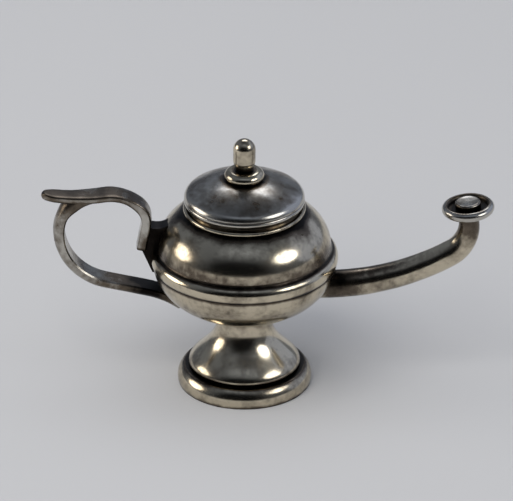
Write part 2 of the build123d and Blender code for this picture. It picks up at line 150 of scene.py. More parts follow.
@dataclass(frozen=True)
class SilverFinish:
    """Sterling silver, turned or raised, polished by hand and then left to tarnish.

    Polish gives clear bright highlights, and the tarnish and painted shade that stay in the
    hollows give brown-black lines.
    """

    name: str
    bright: str = "#CEC3AC"
    stained: str = "#6A6054"
    dark: str = "#151210"
    polish: float = 0.16  # roughness where it is rubbed
    dulled: float = 0.34  # roughness where it is tarnished
    base_soil: float = 0.0  # tarnish all over
    full_stain: float = 0.4  # the tarnish where it is stained and starts to blacken
    full_dull: float = 0.8  # the tarnish where it is at its dullest
    stain_size: float = 2.6
    stain_span: Span = (0.35, 0.75, -0.12, 0.3)  # noise, and the tarnish it gives
    mottle_size: float = 0.55
    mottle_span: Span = (0.3, 0.7, -0.1, 0.14)
    ripple_size: float = 1.5
    ripple_depth: float = 0.006
    grain_size: float = 0.12  # real polishing lines are finer; drawn this coarse to show
    grain_depth: float = 0.0008
    pit_spacing: float = 0.55
    pit_span: Span = (0.12, 0.3, 1.0, 0.0)  # distance from a pit's middle, and its depth there
    pit_depth: float = 0.02

    def material(self) -> bpy.types.Material:
        """Builds the finish as a node material.

        Returns:
            The material.
        """
        material = bpy.data.materials.new(self.name)
        material.use_nodes = True
        tree = material.node_tree
        shader = tree.nodes["Principled BSDF"]
        shader.inputs["Metallic"].default_value = 1.0
        place = add_node(tree, "ShaderNodeTexCoord").outputs["Object"]

        # What the mesh says of itself, and the patterns, each at its real size
        tarnish, patches = [
            add_node(tree, "ShaderNodeAttribute", {"attribute_name": name}).outputs["Fac"]
            for name in ("tarnish", "pitting")
        ]
        stains, mottle, ripples, grain = [
            add_node(
                tree,
                "ShaderNodeTexNoise",
                {"Scale": per_metre(size), "Detail": detail, "Roughness": roughness},
                {"Vector": place},
            ).outputs[0]
            for size, detail, roughness in (
                (self.stain_size, 3.0, 0.55),
                (self.mottle_size, 4.0, 0.65),
                (self.ripple_size, 1.0, 0.5),
                (self.grain_size, 2.0, 0.5),
            )
        ]
        cells = add_node(
            tree,
            "ShaderNodeTexVoronoi",
            {"Scale": per_metre(self.pit_spacing)},
            {"Vector": place},
        ).outputs["Distance"]
        stain_share, mottle_share, pits = [
            add_node(
                tree, "ShaderNodeMapRange", dict(zip(RANGE_SOCKETS, span)), {"Value": pattern}
            ).outputs[0]
            for pattern, span in (
                (stains, self.stain_span),
                (mottle, self.mottle_span),
                (cells, self.pit_span),
            )
        ]

        # Tarnish and painted shade: the share written on the mesh, painted light where it is below
        # zero, broken up by stains and by finer mottling.
        # Pits, small casting holes, are dark too, only where the mesh says that it is pitted
        stained = add_node(
            tree, "ShaderNodeMath", {1: self.base_soil}, {0: stain_share}
        ).outputs[0]
        mottled = add_node(tree, "ShaderNodeMath", {}, {0: stained, 1: mottle_share}).outputs[0]
        soiled_and_shaded = add_node(
            tree, "ShaderNodeMath", {"use_clamp": True}, {0: mottled, 1: tarnish}
        ).outputs[0]
        pitted = add_node(
            tree, "ShaderNodeMath", {"operation": "MULTIPLY"}, {0: pits, 1: patches}
        ).outputs[0]
        soil_and_shade = add_node(
            tree, "ShaderNodeMath", {"operation": "MAXIMUM"}, {0: soiled_and_shaded, 1: pitted}
        ).outputs[0]

        # Colour and gloss follow the tarnish and the painted shade
        light_half, dark_half, gloss = [
            add_node(
                tree, "ShaderNodeMapRange", dict(zip(RANGE_SOCKETS, span)), {"Value": soil_and_shade}
            ).outputs[0]
            for span in (
                (0.0, self.full_stain, 0.0, 1.0),
                (self.full_stain, 1.0, 0.0, 1.0),
                (0.0, self.full_dull, self.polish, self.dulled),
            )
        ]
        rubbed = add_node(
            tree,
            "ShaderNodeMix",
            {"data_type": "RGBA", 6: linear(self.bright), 7: linear(self.stained)},
            {0: light_half},
        ).outputs[2]
        colour = add_node(
            tree,
            "ShaderNodeMix",
            {"data_type": "RGBA", 7: linear(self.dark)},
            {0: dark_half, 6: rubbed},
        ).outputs[2]

        # Relief: slow ripples of the hammer, pits, and the grain of the polishing cloth
        relief: dict[str, bpy.types.NodeSocket] = {}
        for height, depth, sunk in (
            (ripples, self.ripple_depth, False),
            (pitted, self.pit_depth, True),
            (grain, self.grain_depth, False),
        ):
            bump = add_node(
                tree,
                "ShaderNodeBump",
                {"Distance": depth * MM, "Strength": 1.0, "invert": sunk},
                {"Height": height, **relief},
            )
            relief = {"Normal": bump.outputs[0]}
        tree.links.new(colour, shader.inputs["Base Color"])
        tree.links.new(gloss, shader.inputs["Roughness"])
        tree.links.new(relief["Normal"], shader.inputs["Normal"])
        return material


@dataclass(frozen=True)
class PaperFinish:
    """Matt studio paper: a pale, even grey with no gloss."""

    name: str = "studio_paper"
    tone: str = "#BCBDBF"
    shade: str = "#B7B8BA"
    cloud_size: float = 60.0

    def material(self) -> bpy.types.Material:
        """Builds the paper as a node material.

        Returns:
            The material.
        """
        material = bpy.data.materials.new(self.name)
        material.use_nodes = True
        tree = material.node_tree
        shader = tree.nodes["Principled BSDF"]
        shader.inputs["Roughness"].default_value = 0.9
        shader.inputs["Specular IOR Level"].default_value = 0.1
        place = add_node(tree, "ShaderNodeTexCoord").outputs["Object"]
        clouds = add_node(
            tree,
            "ShaderNodeTexNoise",
            {"Scale": per_metre(self.cloud_size), "Detail": 1.0},
            {"Vector": place},
        ).outputs[0]
        colour = add_node(
            tree,
            "ShaderNodeMix",
            {"data_type": "RGBA", 6: linear(self.tone), 7: linear(self.shade)},
            {0: clouds},
        ).outputs[2]
        tree.links.new(colour, shader.inputs["Base Color"])
        return material


@dataclass(frozen=True)
class Spindle:
    """An axis that pieces are turned about, with the side that their outline is drawn on."""

    origin: tuple[float, float, float] = (0.0, 0.0, 0.0)
    axis: tuple[float, float, float] = (0.0, 0.0, 1.0)
    side: tuple[float, float, float] = (1.0, 0.0, 0.0)

    def place(self, point: Point) -> Vector:
        """Gives the place, in metres, of a point drawn as radius and height."""
        across, along = Vector(self.side) * point[0], Vector(self.axis) * point[1]
        return (Vector(self.origin) + across + along) * MM

    def measure(self, place: Vector) -> Point:
        """Gives the radius and height, in millimetres, of a place in metres."""
        offset = place / MM - Vector(self.origin)
        height = offset.dot(Vector(self.axis))
        return ((offset - Vector(self.axis) * height).length, height)


LAMP_AXIS = Spindle()


@dataclass
class Profile:
    """An outline drawn point by point, as distance from an axis and height along it."""

    points: list[Point] = field(default_factory=list)
    pitch: float = 0.2  # between the points of a curve

    def to(self, *points: Point) -> "Profile":
        """Adds straight lines to the given points, divided at the pitch."""
        for point in points:
            start = self.points[-1] if self.points else point
            gap = math.dist(start, point)
            steps = max(1, round(gap / self.pitch))
            for step in range(1, steps + 1):
                if not self.points or gap > MERGE_DISTANCE / MM:
                    part = step / steps
                    radius = start[0] + (point[0] - start[0]) * part
                    height = start[1] + (point[1] - start[1]) * part
                    self.points.append((radius, height))
        return self

    def bezier(self, first: Point, second: Point, end: Point) -> "Profile":
        """Adds a free curve from the last point.

        Args:
            first: The point it sets out towards.
            second: The point it arrives from.
            end: Its end.

        Returns:
            The profile itself.
        """
        start = self.points[-1]
        knots = (start, first, second, end)
        steps = max(CURVE_STEPS, round(math.dist(start, end) / self.pitch))
        for step in range(1, steps + 1):
            part = step / steps
            rest = 1 - part
            shares = (rest**3, 3 * rest**2 * part, 3 * rest * part**2, part**3)
            radius, height = [
                sum(share * knot[side] for share, knot in zip(shares, knots)) for side in (0, 1)
            ]
            self.to((radius, height))
        return self

    def ellipse(self, centre: Point, radii: Point, start: float, end: float) -> "Profile":
        """Adds part of an ellipse.

        Args:
            centre: Its centre.
            radii: Its half axes.
            start: The angle it starts at.
            end: The angle it ends at.

        Returns:
            The profile itself.
        """
        length = max(radii) * math.radians(abs(end - start))
        steps = max(CURVE_STEPS, round(length / self.pitch))
        for step in range(steps + 1):
            angle = math.radians(start + (end - start) * step / steps)
            out, up = radii[0] * math.cos(angle), radii[1] * math.sin(angle)
            self.to((centre[0] + out, centre[1] + up))
        return self

    def arc(self, middle: Point, end: Point) -> "Profile":
        """Adds the round arc from the last point through a middle point.

        Args:
            middle: A point on the arc.
            end: The arc's end.

        Returns:
            The profile itself.
        """
        (ax, ay), (bx, by), (cx, cy) = self.points[-1], middle, end
        a_square, b_square, c_square = ax * ax + ay * ay, bx * bx + by * by, cx * cx + cy * cy
        double = 2 * (ax * (by - cy) + bx * (cy - ay) + cx * (ay - by))
        x = (a_square * (by - cy) + b_square * (cy - ay) + c_square * (ay - by)) / double
        y = (a_square * (cx - bx) + b_square * (ax - cx) + c_square * (bx - ax)) / double
        start, via, stop = [
            math.degrees(math.atan2(q - y, p - x)) for p, q in ((ax, ay), middle, end)
        ]
        turn = (stop - start) % 360
        if (via - start) % 360 > turn:
            turn -= 360
        radius = math.hypot(ax - x, ay - y)
        return self.ellipse((x, y), (radius, radius), start, start + turn)

    def close(self) -> "Profile":
        """Goes back to the first point."""
        return self.to(self.points[0])


class Mark(Protocol):
    """A place where tarnish and painted shade stay, or painted light where its amount is below
    zero.
    """

    def depth(self, place: Vector, facing: Vector) -> float:
        """Gives the tarnish and painted shade at a place in metres, where the surface faces that
        way.
        """


@dataclass(frozen=True)
class Groove:
    """A ring round an axis where tarnish and painted shade stay, or painted light where the amount
    is below zero.
    """

    radius: float
    height: float
    reach: float
    amount: float
    spindle: Spindle = LAMP_AXIS

    def depth(self, place: Vector, facing: Vector) -> float:
        """Gives the tarnish and painted shade at a place in metres, whichever way it faces."""
        gap = math.dist(self.spindle.measure(place), (self.radius, self.height))
        return self.amount * math.exp(-((gap / self.reach) ** 2))


@dataclass(frozen=True)
class Nook:
    """A corner where tarnish and painted shade stay, or painted light where the amount is below
    zero.
    """

    centre: tuple[float, float, float]
    reach: float
    amount: float

    def depth(self, place: Vector, facing: Vector) -> float:
        """Gives the tarnish and painted shade at a place in metres, whichever way it faces."""
        gap = (place / MM - Vector(self.centre)).length
        return self.amount * math.exp(-((gap / self.reach) ** 2))


@dataclass(frozen=True)
class PaintedFacingShade:
    """Painted shade on the faces that look one way."""

    amount: float
    rise: float  # 1 for those that look up, -1 for those that look down
    lean: float = 0.7  # how steeply they look that way where it is almost full
    onset: float = 0.1  # how far it has come on upright faces

    def depth(self, place: Vector, facing: Vector) -> float:
        """Gives the painted shade where the surface faces that way, wherever it is."""
        return self.amount * ease(self.rise * facing.z / self.lean + self.onset)


class Bench:
    """The modelling steps that the pieces share, each done with Blender's own operators."""

    @staticmethod
    def outline(name: str, places: Sequence[Vector], filled: bool = False) -> bpy.types.Object:
        """Draws a line of edges by extruding one vertex, and stays in edit mode.

        Args:
            name: The piece's name.
            places: The line's points, in metres.
            filled: Whether the line is closed and filled with a face.

        Returns:
            The new piece, all selected.
        """
        bpy.ops.object.select_all(action="DESELECT")
        bpy.ops.mesh.primitive_plane_add(size=MM, location=(0, 0, 0))
        piece = bpy.context.object
        piece.name = name
        piece.data.name = name
        bpy.ops.object.mode_set(mode="EDIT")
        bpy.ops.mesh.select_all(action="SELECT")
        bpy.ops.mesh.merge(type="CENTER")
        bpy.ops.transform.translate(value=places[0])
        for here, there in zip(places, places[1:]):
            bpy.ops.mesh.extrude_vertices_move(TRANSFORM_OT_translate={"value": there - here})
        bpy.ops.mesh.select_all(action="SELECT")
        if filled:
            bpy.ops.mesh.edge_face_add()
        return piece

    @staticmethod
    def pick(piece: bpy.types.Object) -> None:
        """Selects a piece alone and makes it the active one."""
        bpy.ops.object.select_all(action="DESELECT")
        piece.select_set(True)
        bpy.context.view_layer.objects.active = piece

    @staticmethod
    def close() -> None:
        """Merges the doubles in edit mode, turns the faces outwards and leaves edit mode."""
        bpy.ops.mesh.select_all(action="SELECT")
        bpy.ops.mesh.remove_doubles(threshold=MERGE_DISTANCE)
        bpy.ops.mesh.normals_make_consistent(inside=False)
        bpy.ops.object.mode_set(mode="OBJECT")

    @staticmethod
    def turn(
        name: str, profile: Profile, spindle: Spindle = LAMP_AXIS, steps: int = 128
    ) -> bpy.types.Object:
        """Turns a piece from its profile.

        Args:
            name: The piece's name.
            profile: Its outline.
            spindle: The axis it is turned about.
            steps: Faces round the axis.

        Returns:
            The closed piece.
        """
        piece = Bench.outline(name, [spindle.place(point) for point in profile.points])
        bpy.ops.mesh.spin(
            steps=steps,
            angle=math.tau,
            center=Vector(spindle.origin) * MM,
            axis=Vector(spindle.axis),
        )
        Bench.close()
        return piece

    @staticmethod
    def modify(piece: bpy.types.Object, kind: str, **settings: Any) -> None:
        """Adds a modifier to a piece and applies it.

        Args:
            piece: The piece.
            kind: The modifier's Blender type.
            settings: Its settings.
        """
        Bench.pick(piece)
        bpy.ops.object.modifier_add(type=kind)
        modifier = piece.modifiers[-1]
        for key, value in settings.items():
            setattr(modifier, key, value)
        bpy.ops.object.modifier_apply(modifier=modifier.name)

    @staticmethod
    def cut(piece: bpy.types.Object, cutter: bpy.types.Object) -> None:
        """Cuts a solid away from a piece and takes the cutter off the bench."""
        Bench.modify(piece, "BOOLEAN", operation="DIFFERENCE", solver="EXACT", object=cutter)
        bpy.data.objects.remove(cutter, do_unlink=True)

    @staticmethod
    def soften(piece: bpy.types.Object, width: float, angle: float = 38.0) -> None:
        """Rounds a piece's sharp edges by that many millimetres."""
        Bench.modify(
            piece,
            "BEVEL",
            width=width * MM,
            segments=BEVEL_SEGMENTS,
            limit_method="ANGLE",
            angle_limit=math.radians(angle),
        )

    @staticmethod
    def hammer(piece: bpy.types.Object, depth: float, span: float) -> None:
        """Gives a piece the slow unevenness of handwork.

        Args:
            piece: The piece.
            depth: How far the surface wanders.
            span: How far apart its high spots are.
        """
        wander = bpy.data.textures.new(f"{piece.name}_wander", "CLOUDS")
        wander.noise_scale = span * MM
        wander.noise_depth = 1
        Bench.modify(
            piece,
            "DISPLACE",
            texture=wander,
            texture_coords="LOCAL",
            direction="NORMAL",
            mid_level=0.5,
            strength=2 * depth * MM,
        )

    @staticmethod
    def polish(piece: bpy.types.Object, angle: float = 32.0) -> None:
        """Shades a piece smooth, apart from its sharp edges."""
        Bench.pick(piece)
        bpy.ops.object.shade_smooth_by_angle(angle=math.radians(angle))


@dataclass
class Carriage:
    """Carries a section in edit mode along runs and bends in the XZ plane."""

    place: Vector  # in millimetres
    heading: float

    def section(self, name: str, points: Sequence[Point]) -> bpy.types.Object:
        """Draws a filled section across the path.

        Args:
            name: The piece's name.
            points: The section, as distance along Y and to the left of the path.

        Returns:
            The new piece, in edit mode.
        """
        left = toward(self.heading + 90)
        places = [(self.place + Vector((0, y, 0)) + left * rise) * MM for y, rise in points]
        return Bench.outline(name, places, filled=True)

    def run(self, length: float) -> None:
        """Goes straight on, without drawing."""
        self.place = self.place + toward(self.heading) * length

    def bend(self, radius: float, angle: float) -> Vector:
        """Goes round an arc, left for a positive angle, without drawing.

        Args:
            radius: The arc's radius.
            angle: How far it turns.

        Returns:
            The arc's centre, in millimetres.
        """
        side = math.copysign(90, angle)
        centre = self.place + toward(self.heading + side) * radius
        self.heading += angle
        self.place = centre - toward(self.heading + side) * radius
        return centre

    def draw_run(self, length: float) -> None:
        """Extrudes the section straight on."""
        self.run(length)
        bpy.ops.mesh.extrude_region_move(
            TRANSFORM_OT_translate={"value": toward(self.heading) * length * MM}
        )

    def draw_bend(
        self,
        radius: float,
        angle: float,
        steps: int,
        growth: Optional[Callable[[float], tuple[float, float, float]]] = None,
    ) -> None:
        """Spins the section round an arc, and may scale it at each step.

        Args:
            radius: The arc's radius.
            angle: How far it turns.
            steps: Sections along it.
            growth: Gives a step's scale from the part of the arc that is done.
        """
        for step in range(1, steps + 1):
            centre = self.bend(radius, angle / steps)
            bpy.ops.mesh.spin(
                steps=1, angle=math.radians(angle / steps), center=centre * MM, axis=(0, 1, 0)
            )
            if growth:
                scale = growth(step / steps)
                bpy.ops.transform.resize(value=scale, center_override=self.place * MM)


class Palette:
    """The lamp's finishes, each built once."""

    def __init__(self) -> None:
        """Builds the materials."""
        self.polished = SilverFinish("hand_polished_sterling_silver").material()
        self.satin = SilverFinish(
            "rubbed_sterling_silver", bright="#BDB9B0", polish=0.22, base_soil=0.11, stain_size=1.9
        ).material()
        # Near-black silver: painted shade on the handle's lug, and the plain dark metal of the
        # hidden pins and washers.
        self.dark = SilverFinish(
            "oxidised_and_shaded_silver",
            bright="#4B4743",
            stained="#2A2623",
            polish=0.34,
            base_soil=0.3,
        ).material()


@dataclass
class SubAssembly:
    """A group of pieces on one body."""

    palette: Palette

    def fit(
        self,
        piece: bpy.types.Object,
        node: str,
        material: bpy.types.Material,
        marks: Sequence[Mark],
        body: Body = Body.LAMP,
        slot: Slot = Slot.SILVER,
        pits: Sequence[Mark] = (),
    ) -> None:
        """Dresses a finished piece and puts it in the place of its solid.

        Args:
            piece: The piece.
            node: The solid that it stands for.
            material: Its metal.
            marks: The places of its tarnish, painted shade and painted light.
            body: The body that it moves with.
            slot: The part's material slot; not used.
            pits: The places where it is pitted.
        """
        Bench.polish(piece)
        # The "tarnish" share holds the tarnish and the painted shade, and painted light where it
        # is below zero.
        for name, spots in (("tarnish", marks), ("pitting", pits)):
            layer = piece.data.attributes.new(name, "FLOAT", "POINT")
            for vertex, share in zip(piece.data.vertices, layer.data):
                share.value = min(1.0, sum(spot.depth(vertex.co, vertex.normal) for spot in spots))
        piece.data.materials.clear()
        piece.data.materials.append(material)
        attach(piece, body.value)
        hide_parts(node)
        LOG.info("%s: %d faces, on %s", piece.name, len(piece.data.polygons), body.value)


@dataclass
class Pedestal(SubAssembly):
    """The round base and the trumpet foot that stands on it."""

    base_radius: float = 5.83
    base_height: float = 1.65
    bulge_height: float = 0.35
    sole_radius: float = 5.75
    base_top_radius: float = 5.3
    pin_hole: float = 0.6
    counterbore: Point = (1.25, 0.6)  # radius and height, for the head of the pin
    cove_radius: float = 4.4
    cove_height: float = 0.1
    lip_radius: float = 4.87
    lip_roll: float = 0.2
    flare_height: float = 4.05
    lip_pull: float = 0.88  # how far the flare holds the lip's direction
    stem_pull: float = 2.15  # and the stem's
    stem_radius: float = 2.42
    stem_top: float = 6.9  # just inside the wall of the bowl
    bowl_bottom: float = 6.63

    def build(self) -> None:
        """Turns and dresses both pieces."""
        self.build_base()
        self.build_foot()

    def build_base(self) -> None:
        """Turns the base, with the pin's counterbore in its sole."""
        bore, ledge = self.counterbore
        top = self.base_height
        profile = Profile([(self.pin_hole, top), (self.pin_hole, ledge), (bore, ledge), (bore, 0)])
        profile.to((self.sole_radius, 0))
        profile.arc((self.base_radius, self.bulge_height), (self.base_top_radius, top))
        base = Bench.turn("silver_base", profile.close())
        Bench.soften(base, width=0.06)
        Bench.hammer(base, depth=0.018, span=4.0)
        marks = [
            # Patina with painted shade on the flat top under the foot's lip, and a painted contact
            # shadow round the sole.
            Groove(self.lip_radius + 0.1, self.base_height, reach=0.36, amount=1.1),
            Groove(self.sole_radius, 0, reach=0.2, amount=0.8),
        ]
        self.fit(base, "base_plate", self.palette.polished, marks)

    def build_foot(self) -> None:
        """Turns the foot: a narrow cove, a rolled lip and the flare up to the bowl."""
        lip_level = self.base_height + self.cove_height
        flare_level = lip_level + self.lip_roll
        stem_level = flare_level + self.flare_height
        roll_radius = self.lip_radius - self.lip_roll
        profile = Profile([(self.pin_hole, self.stem_top)], pitch=0.16)
        profile.points.append((self.pin_hole, self.base_height))
        profile.to((self.cove_radius, self.base_height), (self.cove_radius, lip_level))
        profile.ellipse((roll_radius, flare_level), (self.lip_roll, self.lip_roll), 270, 360)
        profile.bezier(
            (self.lip_radius, flare_level + self.lip_pull),
            (self.stem_radius, stem_level - self.stem_pull),
            (self.stem_radius, stem_level),
        )
        profile.to((self.stem_radius, self.stem_top))
        foot = Bench.turn("silver_foot", profile.close())
        Bench.hammer(foot, depth=0.015, span=3.5)
        marks = [
            # Patina with painted shade in the cove under the rolled lip.
            Groove(roll_radius, lip_level, reach=0.26, amount=1.0),
            Groove(self.stem_radius, self.bowl_bottom + 0.2, reach=0.4, amount=1.0),
        ]
        self.fit(foot, "foot_bell", self.palette.polished, marks)


@dataclass
class Bowl(SubAssembly):
    """The oil bowl: two half shells, the rolled band over their seam and the ring in the mouth."""

    radius: float = 8.0
    depth: float = 5.11
    wall: float = 0.6
    vault_height: float = 5.8
    cove: float = 0.45
    shoulder_level: float = 13.2
    shoulder_height: float = 4.65
    waist: float = 11.74
    neck: float = 16.6
    mouth: float = 4.7
    pin_hole: float = 0.6
    spout_bore: float = 0.55
    spout_start: Point = (6.47, 9.36)
    spout_heading: float = -1.1
    bore_reach: float = 4.0  # of the drill that pierces the wall for the spout
    stem_joint: float = 2.5  # the radius of the crease round the foot's stem
    seat: float = 0.3  # how far the upper half is set in behind the band
    band_centre: Point = (7.5, 12.05)
    band_roll: Point = (0.66, 0.8)
    band_foot: float = -50.0  # where its roll starts, just inside the lower half
    band_crease: float = 0.65  # how far down the roll it meets the lower half
    neck_bore: float = 4.1
    skirt: float = 0.6
    flange_radius: float = 5.33
    flange_roll: float = 0.24  # how far its edge is rounded
    flange_top: float = 17.0
    collar_radius: float = 4.85
    lid_seat: float = 17.45

    def build(self) -> None:
        """Turns and dresses all four pieces."""
        self.build_lower()
        self.build_upper()
        self.build_band()
        self.build_neck()

    @property
    def band_bottom(self) -> float:
        """The level of the crease between the band and the lower half."""
        return self.band_centre[1] - self.band_roll[1] * self.band_crease

    @property
    def band_top(self) -> float:
        """The level of the crease between the band and the upper half."""
        return self.band_centre[1] + self.band_roll[1]

    @property
    def shoulder_radius(self) -> float:
        """The radius of the shoulder, inside the cove above the band."""
        return self.radius - self.cove

    def draw_side(self, profile: Profile, sink: float = 0.0) -> None:
        """Draws the outside of the upper half: a straight side, the cove and the shoulder.

        Args:
            profile: The outline, which has got to the waist.
            sink: How far inside the surface it stays.
        """
        hollow = self.cove + sink
        start = 180 + math.degrees(math.acos((self.seat + sink) / hollow))
        profile.ellipse((self.radius, self.shoulder_level), (hollow, hollow), start, 180)
        radii = (self.shoulder_radius - sink, self.shoulder_height - sink)
        neck_angle = math.degrees(math.asin((self.neck - self.shoulder_level) / radii[1]))
        profile.ellipse((0, self.shoulder_level), radii, 0, neck_angle)

    def cutter(self, sink: float = 0.15) -> bpy.types.Object:
        """Turns the bowl's outer form as a solid to fit other pieces with.

        Args:
            sink: How far inside the bowl's surface it stays.

        Returns:
            The solid.
        """
        profile = Profile(pitch=0.3)
        profile.ellipse((0, self.waist), (self.radius - sink, self.depth - sink), 270, 360)
        profile.to((self.radius - self.seat - sink, self.waist))
        self.draw_side(profile, sink)
        profile.to((0, self.neck))
        return Bench.turn("bowl_form", profile)

    def build_lower(self) -> None:
        """Turns the lower half shell and pierces it for the spout."""
        profile = Profile()
        inner = (self.radius - self.wall, self.depth - self.wall)
        foot_angle = -math.degrees(math.acos(self.pin_hole / self.radius))
        floor_angle = -math.degrees(math.acos(self.pin_hole / inner[0]))
        profile.ellipse((0, self.waist), (self.radius, self.depth), foot_angle, 0)
        profile.ellipse((0, self.waist), inner, 0, floor_angle)
        shell = Bench.turn("silver_bowl_lower", profile.close(), steps=160)
        bpy.ops.object.select_all(action="DESELECT")
        bpy.ops.mesh.primitive_cylinder_add(
            vertices=32,
            radius=self.spout_bore * MM,
            depth=self.bore_reach * MM,
            location=in_plane(self.spout_start) * MM,
            rotation=(0, math.radians(90 - self.spout_heading), 0),
        )
        Bench.cut(shell, bpy.context.object)
        Bench.hammer(shell, depth=0.03, span=5.0)
        marks = [
            Groove(self.radius, self.band_bottom, reach=0.18, amount=0.9),
            Groove(self.stem_joint, self.waist - self.depth + 0.25, reach=0.45, amount=1.0),
            Nook((7.6, 0, 9.3), reach=1.8, amount=0.9),
            Nook((-7.4, 0, 9.1), reach=1.8, amount=0.95),
        ]
        self.fit(shell, "bowl_lower", self.palette.polished, marks)

    def build_upper(self) -> None:
        """Turns the upper half shell, open at the mouth."""
        inner = (self.radius - self.wall, self.vault_height)
        mouth_angle = math.degrees(math.acos(self.mouth / inner[0]))
        profile = Profile([(self.radius - self.seat, self.waist)], pitch=0.16)
        self.draw_side(profile)
        profile.to((self.mouth, self.neck))
        profile.ellipse((0, self.waist), inner, mouth_angle, 0)
        shell = Bench.turn("silver_bowl_upper", profile.close(), steps=160)
        Bench.hammer(shell, depth=0.03, span=5.0)
        marks = [
            Groove(self.radius - self.seat, self.band_top, reach=0.22, amount=0.9),
            # Painted shade with patina under the flange.
            Groove(self.flange_radius, self.neck - 0.05, reach=0.45, amount=1.0),
            Groove(self.shoulder_radius, self.shoulder_level + 0.15, reach=0.7, amount=0.28),
            Nook((7.0, -3.2, 12.9), reach=1.6, amount=0.4),
            Nook((-7.6, 0, 14.2), reach=1.25, amount=1.0),
            Nook((-5.8, -0.5, 16.15), reach=0.9, amount=0.8),
            Nook((5.1, -2.6, 16.2), reach=0.8, amount=0.5),
        ]
        pits = [
            Nook((5.2, -3.4, 15.85), reach=0.55, amount=1.0),
            Nook((6.7, -3.2, 14.05), reach=0.5, amount=1.0),
        ]
        self.fit(shell, "bowl_upper", self.palette.polished, marks, pits=pits)

    def build_band(self) -> None:
        """Turns the rolled band, which lies against both halves."""
        profile = Profile(pitch=0.06)
        profile.ellipse(self.band_centre, self.band_roll, self.band_foot, 90)
        profile.to((self.band_centre[0], profile.points[0][1]))
        band = Bench.turn("silver_waist_band", profile.close(), steps=192)
        Bench.hammer(band, depth=0.012, span=4.0)
        marks = [
            Groove(self.radius, self.band_bottom, reach=0.12, amount=0.9),
            Groove(self.radius - self.seat, self.band_top, reach=0.16, amount=0.9),
        ]
        self.fit(band, "waist_bead", self.palette.polished, marks)

    def build_neck(self) -> None:
        """Turns the ring in the mouth: a skirt, a flange and the collar under the lid."""
        edge = self.flange_radius - self.flange_roll
        middle, bottom = (self.neck + self.flange_top) / 2, self.neck - self.skirt
        profile = Profile([(self.neck_bore, bottom)], pitch=0.1)
        profile.to((self.mouth, bottom), (self.mouth, self.neck), (edge, self.neck))
        profile.arc((self.flange_radius, middle), (edge, self.flange_top))
        profile.to((self.collar_radius, self.flange_top), (self.collar_radius, self.lid_seat))
        profile.to((self.neck_bore, self.lid_seat))
        ring = Bench.turn("silver_neck_ring", profile.close(), steps=144)
        Bench.hammer(ring, depth=0.012, span=3.0)
        marks = [
            # Painted shade with patina on the collar in the gap under the lid, and under the
            # flange's edge.
            Groove(self.collar_radius, self.flange_top + 0.35, reach=0.24, amount=1.2),
            Groove(self.flange_radius - 0.1, self.neck, reach=0.09, amount=0.8),
        ]
        self.fit(ring, "neck_ring", self.palette.polished, marks)


